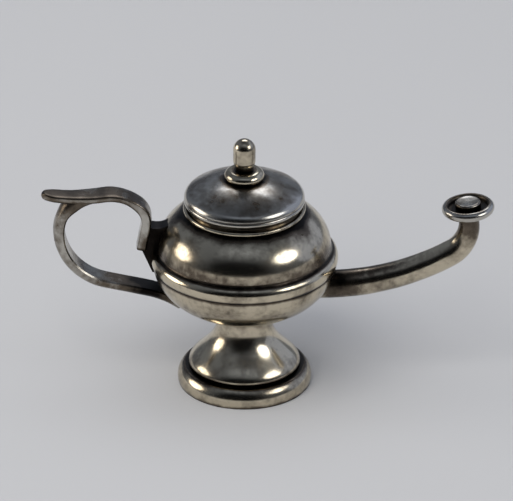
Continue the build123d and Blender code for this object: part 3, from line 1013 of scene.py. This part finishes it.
@dataclass
class Lid(SubAssembly):
    """The lid with its finial, which lifts off as one."""

    seat: float = 17.45
    wall: float = 0.5
    foot_radius: float = 4.93
    radius: float = 5.24
    roll_centre: Point = (4.98, 17.62)  # of the half-round roll at its foot
    roll_radii: Point = (0.26, 0.25)
    line: Point = (5.1, 17.87)  # the fine line above that roll
    line_height: float = 0.03
    edge_round: float = 0.8  # of the edge above the line
    shoulder_radius: float = 4.9
    shoulder_height: float = 1.0
    dome_rise: float = 1.35
    bore: float = 4.4
    tail_hole: float = 0.45
    burr_radius: float = 0.9
    finial_seat: float = 1.5
    bead_radius: float = 1.74
    bead_thickness: float = 0.85
    bead_belly: float = 0.3  # the height where it is widest
    bead_top_radius: float = 1.1
    knob_foot: float = 0.74
    knob_radius: float = 0.98
    swell_height: float = 0.9
    barrel_height: float = 1.05
    tail_radius: float = 0.4
    tail_burr: Point = (0.65, 0.3)
    washer_thickness: float = 0.3

    @property
    def dome_base(self) -> float:
        """The level where the dome starts."""
        return self.seat + self.shoulder_height

    @property
    def dome_radius(self) -> float:
        """The radius of the dome's sphere."""
        return (self.shoulder_radius**2 + self.dome_rise**2) / (2 * self.dome_rise)

    @property
    def dome_centre(self) -> float:
        """The level of the centre of that sphere."""
        return self.dome_base + self.dome_rise - self.dome_radius

    @property
    def bead_seat(self) -> float:
        """The level of the flat under the finial."""
        return self.dome_centre + math.sqrt(self.dome_radius**2 - self.finial_seat**2)

    @property
    def burr_seat(self) -> float:
        """The level of the flat inside the lid."""
        inside = self.dome_radius - self.wall
        return self.dome_centre + math.sqrt(inside**2 - self.burr_radius**2)

    def build(self) -> None:
        """Turns and dresses all three pieces."""
        self.build_dome()
        self.build_bead()
        self.build_knob()

    def build_dome(self) -> None:
        """Turns the lid: a half-round roll, a fine line, the rounded edge and the dome."""
        profile = Profile([(self.bore, self.seat), (self.foot_radius, self.seat)], pitch=0.03)
        profile.ellipse(self.roll_centre, self.roll_radii, 270, 420)
        profile.to(self.line)
        inward, reach = self.radius - self.edge_round, self.dome_radius - self.edge_round
        start = math.degrees(math.acos(inward / reach))
        edge_centre = (inward, self.dome_centre + math.sqrt(reach**2 - inward**2))
        drop = self.line[1] + self.line_height - edge_centre[1]
        foot = math.degrees(math.asin(drop / self.edge_round))
        profile.ellipse(edge_centre, (self.edge_round, self.edge_round), foot, start)
        profile.pitch = 0.14
        end = math.degrees(math.acos(self.finial_seat / self.dome_radius))
        profile.ellipse((0, self.dome_centre), (self.dome_radius, self.dome_radius), start, end)
        profile.to((self.tail_hole, self.bead_seat), (self.tail_hole, self.burr_seat))
        inside = self.dome_radius - self.wall
        start = math.degrees(math.acos(self.burr_radius / inside))
        end = math.degrees(math.acos(self.bore / inside))
        profile.ellipse((0, self.dome_centre), (inside, inside), start, end)
        dome = Bench.turn("silver_lid", profile.close(), steps=160)
        Bench.hammer(dome, depth=0.025, span=3.5)
        marks = [
            # Painted shade under the roll, over the gap to the flange.
            Groove(self.roll_centre[0], self.seat - 0.1, reach=0.14, amount=1.0),
            Groove(*self.line, reach=0.09, amount=1.0),
            # Painted shadow round the bead's foot, with patina in the joint.
            Groove(self.finial_seat + 0.25, self.bead_seat, reach=0.3, amount=0.9),
            # Painted highlights: amounts below zero lighten the rounded edge and the roll.
            Groove(self.radius - 0.1, self.dome_base - 0.25, reach=0.35, amount=-0.35),
            Groove(self.radius, self.roll_centre[1], reach=0.2, amount=-0.2),
        ]
        pits = [Nook((2.05, -4.8, 18.1), reach=0.4, amount=1.0)]
        self.fit(dome, "lid_dome", self.palette.satin, marks, Body.LID, pits=pits)

    def build_bead(self) -> None:
        """Turns the flattened bead under the knob."""
        belly, top = self.bead_seat + self.bead_belly, self.bead_seat + self.bead_thickness
        profile = Profile([(self.tail_hole, top), (self.tail_hole, self.bead_seat)], pitch=0.06)
        under = (self.bead_radius - self.finial_seat, self.bead_belly)
        over = (self.bead_radius - self.bead_top_radius, top - belly)
        profile.ellipse((self.finial_seat, belly), under, 270, 360)
        profile.ellipse((self.bead_top_radius, belly), over, 0, 90)
        bead = Bench.turn("silver_finial_bead", profile.close(), steps=96)
        Bench.hammer(bead, depth=0.012, span=1.6)
        marks = [
            # Painted shade under the bead, with patina where it sits on the lid.
            Groove(self.finial_seat, self.bead_seat, reach=0.2, amount=1.0),
            Groove(self.knob_foot, self.bead_seat + self.bead_thickness, reach=0.28, amount=1.0),
        ]
        self.fit(bead, "finial_collar", self.palette.polished, marks, Body.LID)

    def build_knob(self) -> None:
        """Turns the bullet-shaped knob with its peened tail."""
        foot = self.bead_seat + self.bead_thickness
        barrel = foot + self.swell_height + self.barrel_height
        tail = self.burr_seat - self.washer_thickness
        burr_radius, burr_height = self.tail_burr
        profile = Profile([(0, tail - burr_height)], pitch=0.06)
        burr = (burr_radius - self.tail_radius, burr_height)
        profile.ellipse((self.tail_radius, tail), burr, 270, 360)
        profile.to((self.tail_radius, tail), (self.tail_radius, foot), (self.knob_foot, foot))
        third = self.swell_height / 3
        profile.bezier(
            (self.knob_foot, foot + third),
            (self.knob_radius, foot + 2 * third),
            (self.knob_radius, foot + self.swell_height),
        )
        profile.to((self.knob_radius, barrel))
        profile.ellipse((0, barrel), (self.knob_radius, self.knob_radius), 0, 90)
        knob = Bench.turn("silver_finial_knob", profile, steps=96)
        Bench.soften(knob, width=0.03)
        Bench.hammer(knob, depth=0.012, span=1.4)
        marks = [Groove(self.knob_foot, foot, reach=0.3, amount=1.0)]
        self.fit(knob, "finial_knob", self.palette.polished, marks, Body.LID)


@dataclass
class Spout(SubAssembly):
    """The bent spout with the wick dish and the plug on its end."""

    bowl: Bowl
    run_radius: float = 21.5
    run_angle: float = 32.1
    elbow_radius: float = 3.23
    elbow_angle: float = 63.0
    end_length: float = 0.8
    root_radius: float = 1.24
    elbow_section: float = 1.13
    tip_radius: float = 0.9
    bore: float = 0.55
    sides: int = 48  # of the tube's section
    run_steps: int = 40  # sections along the run
    elbow_steps: int = 24
    dish_radius: float = 2.3
    dish_height: float = 1.0
    bulge_height: float = 0.58
    dish_floor: Point = (1.85, 0.17)  # where the sloping underside meets the round lip
    crest_radius: float = 1.9
    moat_radius: float = 1.66
    moat_depth: float = 0.4
    plug_radius: float = 1.13
    plug_chamfer: float = 0.12
    plug_proud: float = 0.25
    plug_crown: float = 0.05  # the slight hollow of its worn top
    plug_slope: float = 0.6  # the part of the radius, and of the hollow, where it levels out
    shank_radius: float = 0.45
    shank_length: float = 0.7

    def build(self) -> None:
        """Sweeps the tube and turns the dish and the plug on its end."""
        spindle = self.build_tube()
        self.build_dish(spindle)
        self.build_plug(spindle)

    def build_tube(self) -> Spindle:
        """Sweeps the tapered tube with its bore, and fits its root to the bowl.

        Returns:
            The axis of the spout's end.
        """
        carriage = Carriage(in_plane(self.bowl.spout_start), self.bowl.spout_heading)
        angles = [step * math.tau / self.sides for step in range(self.sides)]
        root, elbow, tip_section = self.root_radius, self.elbow_section, self.tip_radius
        circle = [(root * math.cos(angle), root * math.sin(angle)) for angle in angles]
        tube = carriage.section("silver_spout", circle)
        bpy.ops.mesh.inset(thickness=(root - self.bore) * MM)
        bpy.ops.mesh.delete(type="ONLY_FACE")
        bpy.ops.mesh.select_all(action="SELECT")
        for arc in (
            (self.run_radius, self.run_angle, self.run_steps, root, elbow),
            (self.elbow_radius, self.elbow_angle, self.elbow_steps, elbow, tip_section),
        ):
            self.draw_taper(carriage, *arc)
        carriage.draw_run(self.end_length)
        Bench.close()
        Bench.cut(tube, self.bowl.cutter())
        Bench.hammer(tube, depth=0.025, span=2.6)
        tip = carriage.place
        axis = toward(carriage.heading)
        marks = [
            Nook((8.0, -0.6, 10.0), reach=1.4, amount=1.0),
            # Tarnish with painted shade, which dims the highlight along the spout's top.
            Nook((9.8, 0.3, 10.8), reach=1.5, amount=0.4),
            Nook((12.2, 0.3, 11.2), reach=1.5, amount=0.4),
            Nook(tuple(tip - axis * 0.5), reach=1.6, amount=0.55),
        ]
        self.fit(tube, "spout_tube", self.palette.polished, marks)
        return Spindle(tuple(tip), tuple(axis), (0.0, 1.0, 0.0))

    @staticmethod
    def draw_taper(
        carriage: Carriage, radius: float, angle: float, steps: int, start: float, end: float
    ) -> None:
        """Sweeps the tube round an arc while it tapers.

        Args:
            carriage: Where the tube has got to.
            radius: The arc's radius.
            angle: How far it turns.
            steps: Sections along it.
            start: The tube's radius at the arc's start.
            end: The tube's radius at its end.
        """

        def growth(part: float) -> tuple[float, float, float]:
            """Gives a section's scale against the one before it."""
            before = start + (end - start) * (part - 1 / steps)
            scale = (start + (end - start) * part) / before
            return (scale, scale, scale)

        carriage.draw_bend(radius, angle, steps, growth)

    def build_dish(self, spindle: Spindle) -> None:
        """Turns the round-lipped dish."""
        floor = self.dish_height - self.moat_depth
        profile = Profile([(self.bore, floor), (self.bore, 0), (self.tip_radius, 0)], pitch=0.07)
        profile.to(self.dish_floor)
        profile.arc((self.dish_radius, self.bulge_height), (self.crest_radius, self.dish_height))
        moat = (self.crest_radius - self.moat_radius, self.moat_depth)
        profile.ellipse((self.crest_radius, floor), moat, 90, 180)
        dish = Bench.turn("silver_wick_dish", profile.close(), spindle, steps=112)
        Bench.hammer(dish, depth=0.02, span=1.8)
        marks = [
            Groove(radius, height, reach, amount, spindle)
            for radius, height, reach, amount in (
                (self.moat_radius, floor, 0.25, 0.5),
                (self.crest_radius - 0.14, self.dish_height, 0.2, 0.6),
                (self.plug_radius, floor, 0.42, 1.0),
                (self.tip_radius, 0, 0.4, 0.9),
                # A painted highlight: the amount below zero lightens the lip's outer side.
                (self.dish_radius - 0.1, self.bulge_height + 0.1, 0.4, -0.3),
            )
        ]
        self.fit(dish, "spout_cup", self.palette.satin, marks)

    def build_plug(self, spindle: Spindle) -> None:
        """Turns the flat-topped plug with its shank."""
        floor = self.dish_height - self.moat_depth
        top = self.dish_height + self.plug_proud
        radius, chamfer, crown = self.plug_radius, self.plug_chamfer, self.plug_crown
        profile = Profile([(0, -self.shank_length)], pitch=0.08)
        profile.points.append((self.shank_radius, -self.shank_length))
        profile.to((self.shank_radius, floor), (radius, floor))
        profile.to((radius, top - chamfer), (radius - chamfer, top))
        profile.to((radius * self.plug_slope, top - crown * self.plug_slope), (0, top - crown))
        plug = Bench.turn("silver_wick_plug", profile, spindle, steps=72)
        Bench.soften(plug, width=0.05)
        Bench.hammer(plug, depth=0.02, span=1.1)
        marks = [Groove(radius, floor + 0.1, reach=0.35, amount=1.0, spindle=spindle)]
        self.fit(plug, "wick_plug", self.palette.satin, marks, slot=Slot.DARK_SILVER)


@dataclass
class Handle(SubAssembly):
    """The strap handle, the thumb leaf on it and the lug that joins the leaf to the bowl."""

    bowl: Bowl
    strap_width: float = 2.0
    strap_thickness: float = 1.0
    strap_edge: float = 0.3
    strap_chamfer: float = 0.12
    strap_steps: tuple[int, int, int, int] = (14, 10, 30, 26)  # along tail, run, bow and crown
    strap_start: Point = (-8.6, 8.89)
    strap_heading: float = 167.9
    strap_run: float = 3.5
    bow_radius: float = 5.2
    crown_radius: float = 3.7
    crown_angle: float = 75.0
    tail_radius: float = 8.0
    tail_angle: float = 24.0
    crown_flare: float = 1.4  # how much the strap thickens into the solder under the leaf
    flare_part: Point = (0.3, 0.35)  # where along the crown that starts, and over how much of it
    crown_cut: float = 0.5  # the part of the leaf's sag where the strap's end is cut off
    leaf_width: float = 2.24
    leaf_end_width: float = 1.95
    leaf_nose: Point = (1.6, 0.88)  # length of its rounded end, and half its width there
    leaf_roll: float = 0.35  # how far from the point it thins
    leaf_tip: float = 0.3  # the part of its thickness that is left at the point
    leaf_thickness: float = 0.62
    leg_thickness: float = 0.9
    leaf_sides: int = 40  # of its section
    leaf_squareness: Point = (0.36, 0.42)  # of that section, across and through; 1 is an ellipse
    leaf_steps: tuple[int, int, int, int, int] = (8, 16, 20, 20, 24)  # leg, bend, crest, sag, nose
    leg_end: Point = (-8.93, 13.1)
    leaf_heading: float = 79.9
    leg_length: float = 2.3
    bend: Point = (1.9, 53.6)  # radius and angle
    crest: Point = (3.6, 55.7)
    sag: Point = (16.0, -19.5)
    lug_width: float = 1.5
    lug_height: float = 2.35
    lug_sag: float = 0.3
    lug_foot: Point = (-8.0, 10.89)  # its lowest point on the bowl
    lug_root: float = -5.0  # how far into the bowl it goes before it is cut to fit
    lug_slices: int = 8

    def build(self) -> None:
        """Sweeps the strap and the leaf, and cuts the lug."""
        self.build_leaf()
        self.build_strap()
        self.build_lug()

    def leaf_path(self) -> Carriage:
        """Gives a carriage at the lower end of the leaf's leg."""
        return Carriage(in_plane(self.leg_end), self.leaf_heading)

    def leaf_half(self, x: float, crest_x: float, point_x: float, end_x: float) -> float:
        """Gives half the leaf's width.

        Args:
            x: How far along the lamp.
            crest_x: Where the leaf is widest.
            point_x: Where its point is.
            end_x: Where its taper ends, beside the bowl.

        Returns:
            Half the width there.
        """
        full = self.leaf_width / 2
        nose, start = self.leaf_nose
        if x > crest_x:
            part = (x - crest_x) / (end_x - crest_x)
            return full + (self.leaf_end_width / 2 - full) * ease(part)
        if x > point_x + nose:
            return start + (full - start) * ease((x - point_x - nose) / (crest_x - point_x - nose))
        return start * self.rounded((x - point_x) / nose)

    @staticmethod
    def rounded(part: float) -> float:
        """Gives the height of a quarter circle, from almost nothing at 0 to full at 1 and on."""
        return math.sqrt(1 - min(max(1 - part, 0.0), NEAR_TIP) ** 2)

    def build_leaf(self) -> None:
        """Sweeps the leaf from its leg to its point, and narrows it to its outline."""
        scout = self.leaf_path()
        scout.run(self.leg_length)
        end_x = scout.place.x + self.leaf_thickness
        scout.bend(*self.bend)
        scout.bend(*self.crest)
        crest_x = scout.place.x
        scout.bend(*self.sag)
        point_x = scout.place.x
        carriage = self.leaf_path()
        half, rise = self.leaf_end_width / 2, self.leg_thickness / 2
        flat, upright = self.leaf_squareness
        section = []
        for step in range(self.leaf_sides):
            angle = step * math.tau / self.leaf_sides
            cosine, sine = math.cos(angle), math.sin(angle)
            across = half * math.copysign(abs(cosine) ** flat, cosine)
            through = rise * math.copysign(abs(sine) ** upright, sine)
            section.append((across, through))
        leaf = carriage.section("silver_thumb_leaf", section)
        before = (half, rise)

        def growth(part: float) -> tuple[float, float, float]:
            """Gives a section's scale against the one before it, through and across the leaf."""
            nonlocal before
            x = carriage.place.x
            thinned = ease((end_x - self.leaf_thickness - x) / self.bend[0])
            full = self.leg_thickness + (self.leaf_thickness - self.leg_thickness) * thinned
            tip = max(self.rounded((x - point_x) / self.leaf_roll), self.leaf_tip)
            now = (self.leaf_half(x, crest_x, point_x, end_x), full / 2 * tip)
            across, thick = now[0] / before[0], now[1] / before[1]
            before = now
            return (thick, across, thick)

        leg_steps, bend_steps, crest_steps, sag_steps, nose_steps = self.leaf_steps
        for _ in range(leg_steps):
            carriage.draw_run(self.leg_length / leg_steps)
        carriage.draw_bend(*self.bend, bend_steps, growth)
        carriage.draw_bend(*self.crest, crest_steps, growth)
        radius, angle = self.sag
        nose_angle = math.copysign(math.degrees(self.leaf_nose[0] / radius), angle)
        carriage.draw_bend(radius, angle - nose_angle, sag_steps, growth)
        carriage.draw_bend(radius, nose_angle, nose_steps, growth)
        Bench.close()
        Bench.hammer(leaf, depth=0.02, span=2.2)
        marks = [
            # Painted light on the leg and the bend: the amount below zero lightens them.
            Nook((-9.2, 0, 14.8), reach=2.3, amount=-0.28),
            # Patina with painted shade where the leg meets the lug.
            *[Nook((-8.35, side, 13.7), reach=0.65, amount=0.9) for side in (-1.1, 1.1)],
            Nook((-15.0, 0, 17.4), reach=0.9, amount=0.8),
            # Painted shade on the faces that look down, and lighter painted shade on the top.
            PaintedFacingShade(amount=0.9, rise=-1),
            PaintedFacingShade(amount=0.28, rise=1),
        ]
        self.fit(leaf, "thumb_leaf", self.palette.satin, marks)

    def build_strap(self) -> None:
        """Sweeps the half-round strap, and fits its ends to the bowl and the leaf."""
        scout = Carriage(in_plane(self.strap_start), self.strap_heading - 180)
        scout.bend(self.tail_radius, -self.tail_angle)
        carriage = Carriage(scout.place, scout.heading + 180)
        half, low = self.strap_width / 2, -self.strap_thickness / 2
        flat, edge = half - self.strap_chamfer, low + self.strap_chamfer
        round_over = (half, self.strap_thickness - self.strap_edge)
        section = Profile(pitch=0.13)
        section.ellipse((0, low + self.strap_edge), round_over, 0, 180)
        section.to((-half, edge), (-flat, low), (0, low), (flat, low), (half, edge))
        strap = carriage.section("silver_handle_strap", section.points)
        tail_steps, run_steps, bow_steps, crown_steps = self.strap_steps
        carriage.draw_bend(self.tail_radius, self.tail_angle, tail_steps)
        for _ in range(run_steps):
            carriage.draw_run(self.strap_run / run_steps)
        carriage.draw_bend(self.bow_radius, 90 - self.strap_heading, bow_steps)
        flare_start, flare_length = self.flare_part

        def growth(part: float) -> tuple[float, float, float]:
            """Gives a section's scale in thickness against the one before it."""
            now, before = [
                1 + (self.crown_flare - 1) * ease((done - flare_start) / flare_length)
                for done in (part, part - 1 / crown_steps)
            ]
            return (now / before, 1.0, now / before)

        carriage.draw_bend(self.crown_radius, -self.crown_angle, crown_steps, growth)
        Bench.close()
        Bench.cut(strap, self.bowl.cutter())
        self.trim_crown(strap)
        Bench.hammer(strap, depth=0.025, span=2.4)
        marks = [
            Nook((-8.4, 0, 9.1), reach=2.3, amount=1.1),
            Nook((-14.6, 0, 17.3), reach=1.2, amount=0.9),
        ]
        self.fit(strap, "handle_loop", self.palette.satin, marks)

    def trim_crown(self, strap: bpy.types.Object) -> None:
        """Cuts the strap's upper end off inside the leaf that lies on it."""
        scout = self.leaf_path()
        scout.run(self.leg_length)
        scout.bend(*self.bend)
        scout.bend(*self.crest)
        radius, angle = self.sag
        scout.bend(radius, angle * self.crown_cut)
        Bench.pick(strap)
        bpy.ops.object.mode_set(mode="EDIT")
        bpy.ops.mesh.select_all(action="SELECT")
        bpy.ops.mesh.bisect(
            plane_co=scout.place * MM,
            plane_no=toward(scout.heading - 90),
            use_fill=True,
            clear_outer=True,
            threshold=CUT_TOLERANCE,
        )
        Bench.close()

    def build_lug(self) -> None:
        """Cuts the hollow-topped block between leaf and bowl, which runs out over the band."""
        top = in_plane(self.leg_end) + toward(self.leaf_heading) * self.lug_height
        level = (top.z - self.bowl.shoulder_level) / self.bowl.shoulder_height
        side = -self.bowl.shoulder_radius * math.sqrt(1 - level**2)
        profile = Profile([(self.lug_root, top.z)], pitch=0.3)
        profile.to((self.lug_root, self.lug_foot[1]), self.lug_foot, self.leg_end, (top.x, top.z))
        profile.arc(((top.x + side) / 2, top.z - self.lug_sag), (side, top.z))
        places = [Vector((x, -self.lug_width / 2, z)) * MM for x, z in profile.points]
        lug = Bench.outline("silver_handle_lug", places, filled=True)
        slice_width = self.lug_width / self.lug_slices * MM
        for _ in range(self.lug_slices):
            bpy.ops.mesh.extrude_region_move(
                TRANSFORM_OT_translate={"value": (0, slice_width, 0)}
            )
        Bench.close()
        Bench.cut(lug, self.bowl.cutter())
        Bench.soften(lug, width=0.1)
        # The lug's near-black finish and this mark are painted shade, for the deep shadow between
        # the leaf and the bowl.
        marks = [Nook((-8.2, 0, 13.6), reach=2.2, amount=0.8)]
        self.fit(lug, "handle_lug", self.palette.dark, marks, slot=Slot.DARK_SILVER)


@dataclass(frozen=True)
class SoftLight:
    """A round diffuser panel that faces the oil lamp, with its sizes in metres."""

    name: str
    azimuth: float  # from the camera's side, to the right
    elevation: float
    width: float
    height: float
    brightness: float
    tint: str
    distance: float = 0.6
    mirrored: bool = True  # whether the silver shows it
    spread: bool = True  # whether it lights the floor

    def hang(self, aim: Vector) -> None:
        """Hangs the panel.

        Args:
            aim: The place it faces, in metres.
        """
        around, up = math.radians(self.azimuth), math.radians(self.elevation)
        level = math.cos(up)
        out = Vector((math.sin(around) * level, -math.cos(around) * level, math.sin(up)))
        bpy.ops.object.light_add(type="AREA", location=aim + out * self.distance)
        panel = bpy.context.object
        panel.name = self.name
        panel.rotation_euler = (-out).to_track_quat("-Z", "Y").to_euler()
        panel.data.shape = "ELLIPSE"
        panel.data.size = self.width
        panel.data.size_y = self.height
        panel.data.energy = self.brightness * math.pi * self.width * self.height
        panel.data.color = linear(self.tint)[:3]
        panel.visible_camera = False
        panel.visible_glossy = self.mirrored
        panel.visible_diffuse = self.spread


@dataclass(frozen=True)
class RoomPatch:
    """A part of the room that is darker or lighter than the rest."""

    heading: tuple[float, float, float]
    edge: Point  # the cosines of the angles from it where it starts and where it is full
    strength: float


@dataclass
class Studio:
    """The pale floor, the soft light and the camera."""

    aim: tuple[float, float, float] = (1.052, 0.0, 12.627)
    elevation: float = 27.5
    distance: float = 0.9  # in metres
    view_width: float = 44.61  # what the picture's width takes in at the lamp
    sensor: float = 36.0
    floor_size: float = 3.0  # in metres
    room_front: str = "#373A40"
    room_back: str = "#747B88"
    room_rise: float = 1.2  # how much going up counts against going back
    room_span: Point = (-1.0, 1.55)  # where the front colour ends and the back colour is full
    patches: tuple[RoomPatch, ...] = (
        RoomPatch((-0.13, -0.98, 0.15), (0.6, 0.85), 0.08),  # the dark shape behind the camera
        RoomPatch((0.0, 0.2, 0.98), (0.82, 0.97), 0.4),  # the dark ceiling
        RoomPatch((0.0, -0.52, 0.85), (0.86, 0.98), 2.2),  # the light wall over the camera
    )
    # Name, azimuth, elevation, width, height, brightness and tint
    panels: tuple[SoftLight, ...] = (
        SoftLight("left_panel", -94, 16, 0.34, 0.28, 2.8, "#FFF6EA"),
        SoftLight("right_panel", 66, 34, 0.36, 0.25, 2.8, "#FFFFFF", spread=False),
        SoftLight("right_wall", 112, 22, 0.8, 0.6, 0.28, "#D3DFFF", spread=False),
        SoftLight("back_panel", 177, 48, 0.36, 0.24, 2.1, "#F6F8FF", spread=False),
        SoftLight("ceiling", 0, 88, 2.0, 2.0, 0.85, "#FAFBFF", 1.0, mirrored=False),
        SoftLight("front_fill", -30, 46, 0.9, 0.8, 3.1, "#FFFAF2", 1.0, mirrored=False),
    )

    def build(self) -> None:
        """Sets up the whole studio."""
        self.lay_floor()
        aim = Vector(self.aim) * MM
        for panel in self.panels:
            panel.hang(aim)
            LOG.info("%s hung", panel.name)
        self.paint_room()
        self.place_camera(aim)
        bpy.context.scene.view_settings.view_transform = "Standard"

    def lay_floor(self) -> None:
        """Lays the paper that the lamp stands on."""
        bpy.ops.object.select_all(action="DESELECT")
        bpy.ops.mesh.primitive_plane_add(size=self.floor_size, location=(0, 0, 0))
        floor = bpy.context.object
        floor.name = "studio_floor"
        bpy.ops.object.mode_set(mode="EDIT")
        bpy.ops.mesh.select_all(action="SELECT")
        bpy.ops.mesh.subdivide(number_cuts=4)
        bpy.ops.object.mode_set(mode="OBJECT")
        floor.data.materials.append(PaperFinish().material())

    def paint_room(self) -> None:
        """Paints the room that the silver mirrors: dark in front, lighter towards the back."""
        room = bpy.data.worlds.new("studio_room")
        bpy.context.scene.world = room
        room.use_nodes = True
        tree = room.node_tree
        where = add_node(tree, "ShaderNodeTexCoord").outputs["Generated"]
        parts = add_node(tree, "ShaderNodeSeparateXYZ", {}, {"Vector": where})
        rise = add_node(
            tree,
            "ShaderNodeMath",
            {"operation": "MULTIPLY", 1: self.room_rise},
            {0: parts.outputs["Z"]},
        ).outputs[0]
        slope = add_node(tree, "ShaderNodeMath", {}, {0: rise, 1: parts.outputs["Y"]}).outputs[0]
        depth = add_node(
            tree, "ShaderNodeMapRange", dict(zip(RANGE_SOCKETS, self.room_span)), {"Value": slope}
        ).outputs[0]
        colour = add_node(
            tree,
            "ShaderNodeMix",
            {"data_type": "RGBA", 6: linear(self.room_front), 7: linear(self.room_back)},
            {0: depth},
        ).outputs[2]
        background = tree.nodes["Background"]
        tree.links.new(colour, background.inputs["Color"])
        strength = add_node(tree, "ShaderNodeValue").outputs[0]
        strength.default_value = 1.0
        for patch in self.patches:
            nearness = add_node(
                tree,
                "ShaderNodeVectorMath",
                {"operation": "DOT_PRODUCT", 1: patch.heading},
                {0: where},
            ).outputs["Value"]
            share = add_node(
                tree,
                "ShaderNodeMapRange",
                dict(zip(RANGE_SOCKETS, (*patch.edge, 1.0, patch.strength))),
                {"Value": nearness},
            ).outputs[0]
            strength = add_node(
                tree, "ShaderNodeMath", {"operation": "MULTIPLY"}, {0: strength, 1: share}
            ).outputs[0]
        tree.links.new(strength, background.inputs["Strength"])

    def place_camera(self, aim: Vector) -> None:
        """Puts the camera at the height the lamp is seen from.

        Args:
            aim: The middle of the picture, in metres.
        """
        up = math.radians(self.elevation)
        away = Vector((0, -math.cos(up), math.sin(up))) * self.distance
        bpy.ops.object.camera_add(location=aim + away, rotation=(math.pi / 2 - up, 0, 0))
        camera = bpy.context.object
        camera.name = "studio_camera"
        camera.data.sensor_width = self.sensor
        camera.data.lens = self.sensor * self.distance / (self.view_width * MM)
        camera.data.clip_start = 0.01
        bpy.context.scene.camera = camera


def dress_hidden_pieces(nodes: dict[str, bpy.types.Object], palette: Palette) -> None:
    """Gives the solids that stay their metal.

    Args:
        nodes: The lamp's solids.
        palette: The finishes.
    """
    metals = {
        "tie_pin": palette.dark,
        "pin_washer": palette.dark,
        "finial_washer": palette.dark,
        "lid_bezel": palette.satin,
    }
    for name, metal in metals.items():
        slots = nodes[name].data.materials
        slots.clear()
        slots.append(metal)
        LOG.info("%s kept", name)


def main() -> None:
    """Builds the lamp's pieces in order, then the studio."""
    logging.basicConfig(level=logging.INFO, format="%(name)s: %(message)s")
    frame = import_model()
    palette = Palette()
    bowl = Bowl(palette)
    spout, handle = Spout(palette, bowl), Handle(palette, bowl)
    for assembly in (Pedestal(palette), bowl, Lid(palette), spout, handle):
        assembly.build()
    dress_hidden_pieces(frame["nodes"], palette)
    Studio().build()


if __name__ == "__main__":
    main()
